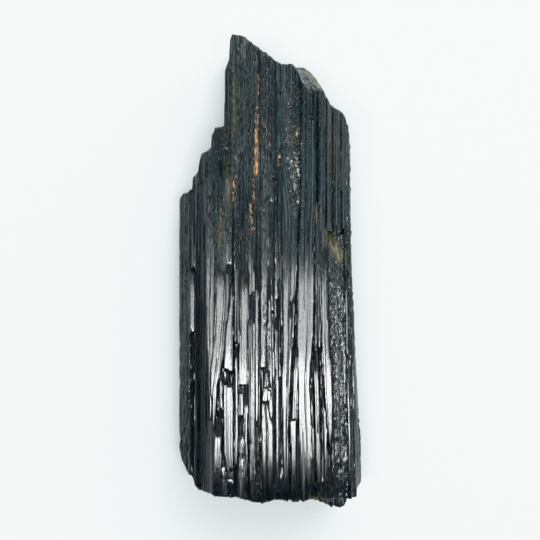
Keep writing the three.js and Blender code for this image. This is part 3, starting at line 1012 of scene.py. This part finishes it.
def schorl_relief(nodes, on):
    """Striae and pits everywhere, with chips, flakes and grit in the broken places."""
    pits = nodes.times(nodes.ramp(on.specks, 0.60, 0.68), nodes.ramp(on.cloud, 0.30, 0.6))
    normal = nodes.bump(on.broad, 1.0)
    normal = nodes.bump(on.fine, 1.0, normal)
    normal = nodes.bump(nodes.times(on.chips, on.broken), CHIP_RELIEF, normal)
    normal = nodes.bump(nodes.times(on.flakes, on.broken), FLAKE_RELIEF, normal)
    normal = nodes.bump(nodes.times(on.grit, on.broken), GRIT_DEPTH * MM, normal)
    return nodes.bump(pits, -PIT_DEPTH * MM, normal)


def schorl_material():
    """Near-black glassy tourmaline with hairline striae, gritty breaks, rust and ochre stains."""
    material = bpy.data.materials.new("schorl_striated")
    nodes = Nodes(material)
    on = schorl_patterns(nodes)
    color, stained = stained_color(nodes, on, clean_color(nodes, on))
    rough = schorl_roughness(nodes, on, stained)
    normal = schorl_relief(nodes, on)
    tangent = nodes.add("ShaderNodeTangent")
    tangent.direction_type = "RADIAL"
    tangent.axis = "Y"
    shader = nodes.add("ShaderNodeBsdfPrincipled", Base_Color=color, Roughness=rough, Normal=normal)
    shader.inputs["IOR"].default_value = REFRACTION
    shader.inputs["Anisotropic"].default_value = ANISOTROPY
    nodes.set(shader, "Tangent", tangent.outputs[0])
    nodes.add("ShaderNodeOutputMaterial", Surface=shader.outputs[0])
    return material


def paper_material():
    """Plain pale floor with a very fine grain."""
    material = bpy.data.materials.new("paper_pale")
    nodes = Nodes(material)
    place = nodes.add("ShaderNodeTexCoord").outputs["Object"]
    grain = nodes.noise(place, 1500.0, detail=2.0)
    color = nodes.mix(grain, *PAPER)
    normal = nodes.bump(grain, 0.03 * MM)
    shader = nodes.add("ShaderNodeBsdfPrincipled", Base_Color=color, Roughness=0.8, Normal=normal)
    shader.inputs["Specular IOR Level"].default_value = 0.15
    nodes.add("ShaderNodeOutputMaterial", Surface=shader.outputs[0])
    return material


# --- Stage, light and camera ---

FLOOR_HALF = 1.5  # half the floor's side in metres

# Soft panels: name, size, place, the point that it faces, all in metres, watts and, if not white, colour.
PANELS = [
    ("key", (0.60, 0.60), (0.22, 0.38, 0.44), (0.02, 0.03, 0.0), 2.6),
    ("overhead", (0.52, 0.080), (-0.05, -0.112, 0.90), (-0.05, -0.02, 0.0), 3.35),
    ("overhead_wide", (0.60, 0.12), (-0.05, -0.064, 0.91), (-0.05, -0.01, 0.0), 2.9),
    ("overhead_soft", (0.50, 0.16), (-0.05, 0.035, 0.92), (-0.05, 0.02, 0.0), 0.15, (0.62, 0.93, 1.0)),
]

# The surroundings where they are dim and where they are bright.
WORLD_LEVELS = (0.03, 0.75)
WORLD_COLORS = ((0.32, 0.84, 1.0, 1.0), (0.85, 1.0, 1.0, 1.0))

CAMERA_HEIGHT = 0.320
FIELD_OF_VIEW = math.radians(21.1)

# The display transform: linear light in, display value out, between black and its brightest tone.
TONES = [(0.6, 0.6), (0.8, 0.79), (1.0, 0.9), (1.25, 0.94)]
BRIGHTEST = (2.0, 0.95)


def floor():
    mesh = bpy.data.meshes.new("floor")
    corners = [(x * FLOOR_HALF, y * FLOOR_HALF, 0) for x, y in ((-1, -1), (1, -1), (1, 1), (-1, 1))]
    mesh.from_pydata(corners, [], [(0, 1, 2, 3)])
    mesh.materials.append(paper_material())
    add_object("floor", mesh)


def panel(name, size, place, aim, watts, color=(1.0, 1.0, 1.0)):
    """A soft rectangular light at `place` that faces `aim`."""
    light = bpy.data.lights.new(name, "AREA")
    light.shape = "RECTANGLE"
    light.size, light.size_y = size
    light.energy = watts
    light.color = color
    lamp = add_object(name, light)
    lamp.location = place
    lamp.rotation_euler = (Vector(aim) - Vector(place)).to_track_quat("-Z", "Y").to_euler()


def world():
    """Soft studio surroundings: bright beyond the head and to its right, dim beyond the foot."""
    surroundings = bpy.data.worlds.new("studio")
    bpy.context.scene.world = surroundings
    nodes = Nodes(surroundings)
    direction = nodes.add("ShaderNodeTexCoord").outputs["Generated"]
    x, y, _ = nodes.add("ShaderNodeSeparateXYZ", Vector=direction).outputs
    side = nodes.ramp(nodes.times_plus(x, 0.35, y), -0.25, 0.6)
    color = nodes.mix(side, *WORLD_COLORS)
    dim, bright = WORLD_LEVELS
    level = nodes.times_plus(side, bright - dim, dim)
    backdrop = nodes.add("ShaderNodeBackground", Color=color, Strength=level)
    nodes.add("ShaderNodeOutputWorld", Surface=backdrop.outputs[0])


def camera(x, y):
    """Looks straight down, with the head of the crystal at the top of the picture."""
    data = bpy.data.cameras.new("camera")
    data.angle = FIELD_OF_VIEW
    eye = add_object("camera", data)
    eye.location = (x, y, CAMERA_HEIGHT)
    bpy.context.scene.camera = eye


def film_response(view):
    """A plain display transform whose brightest tones roll off just short of white."""
    view.view_transform = "Standard"
    view.use_curve_mapping = True
    mapping = view.curve_mapping
    mapping.clip_max_x = BRIGHTEST[0]
    tones = mapping.curves[3].points
    tones[0].location = (0.0, 0.0)
    tones[1].location = BRIGHTEST
    for tone in TONES:
        tones.new(*tone)
    mapping.update()


# --- Build ---

film_response(bpy.context.scene.view_settings)
mesh = grown_crystal()
own_x, own_y, _ = placed(mesh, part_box("crystal"))
mesh = smoothed(mesh)
mesh.name = "crystal_schorl"
mesh.materials.append(schorl_material())
crystal = add_object("crystal_schorl", mesh)
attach(crystal, "root")
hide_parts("crystal")

floor()
world()
for row in PANELS:
    panel(*row)
camera(own_x, own_y)
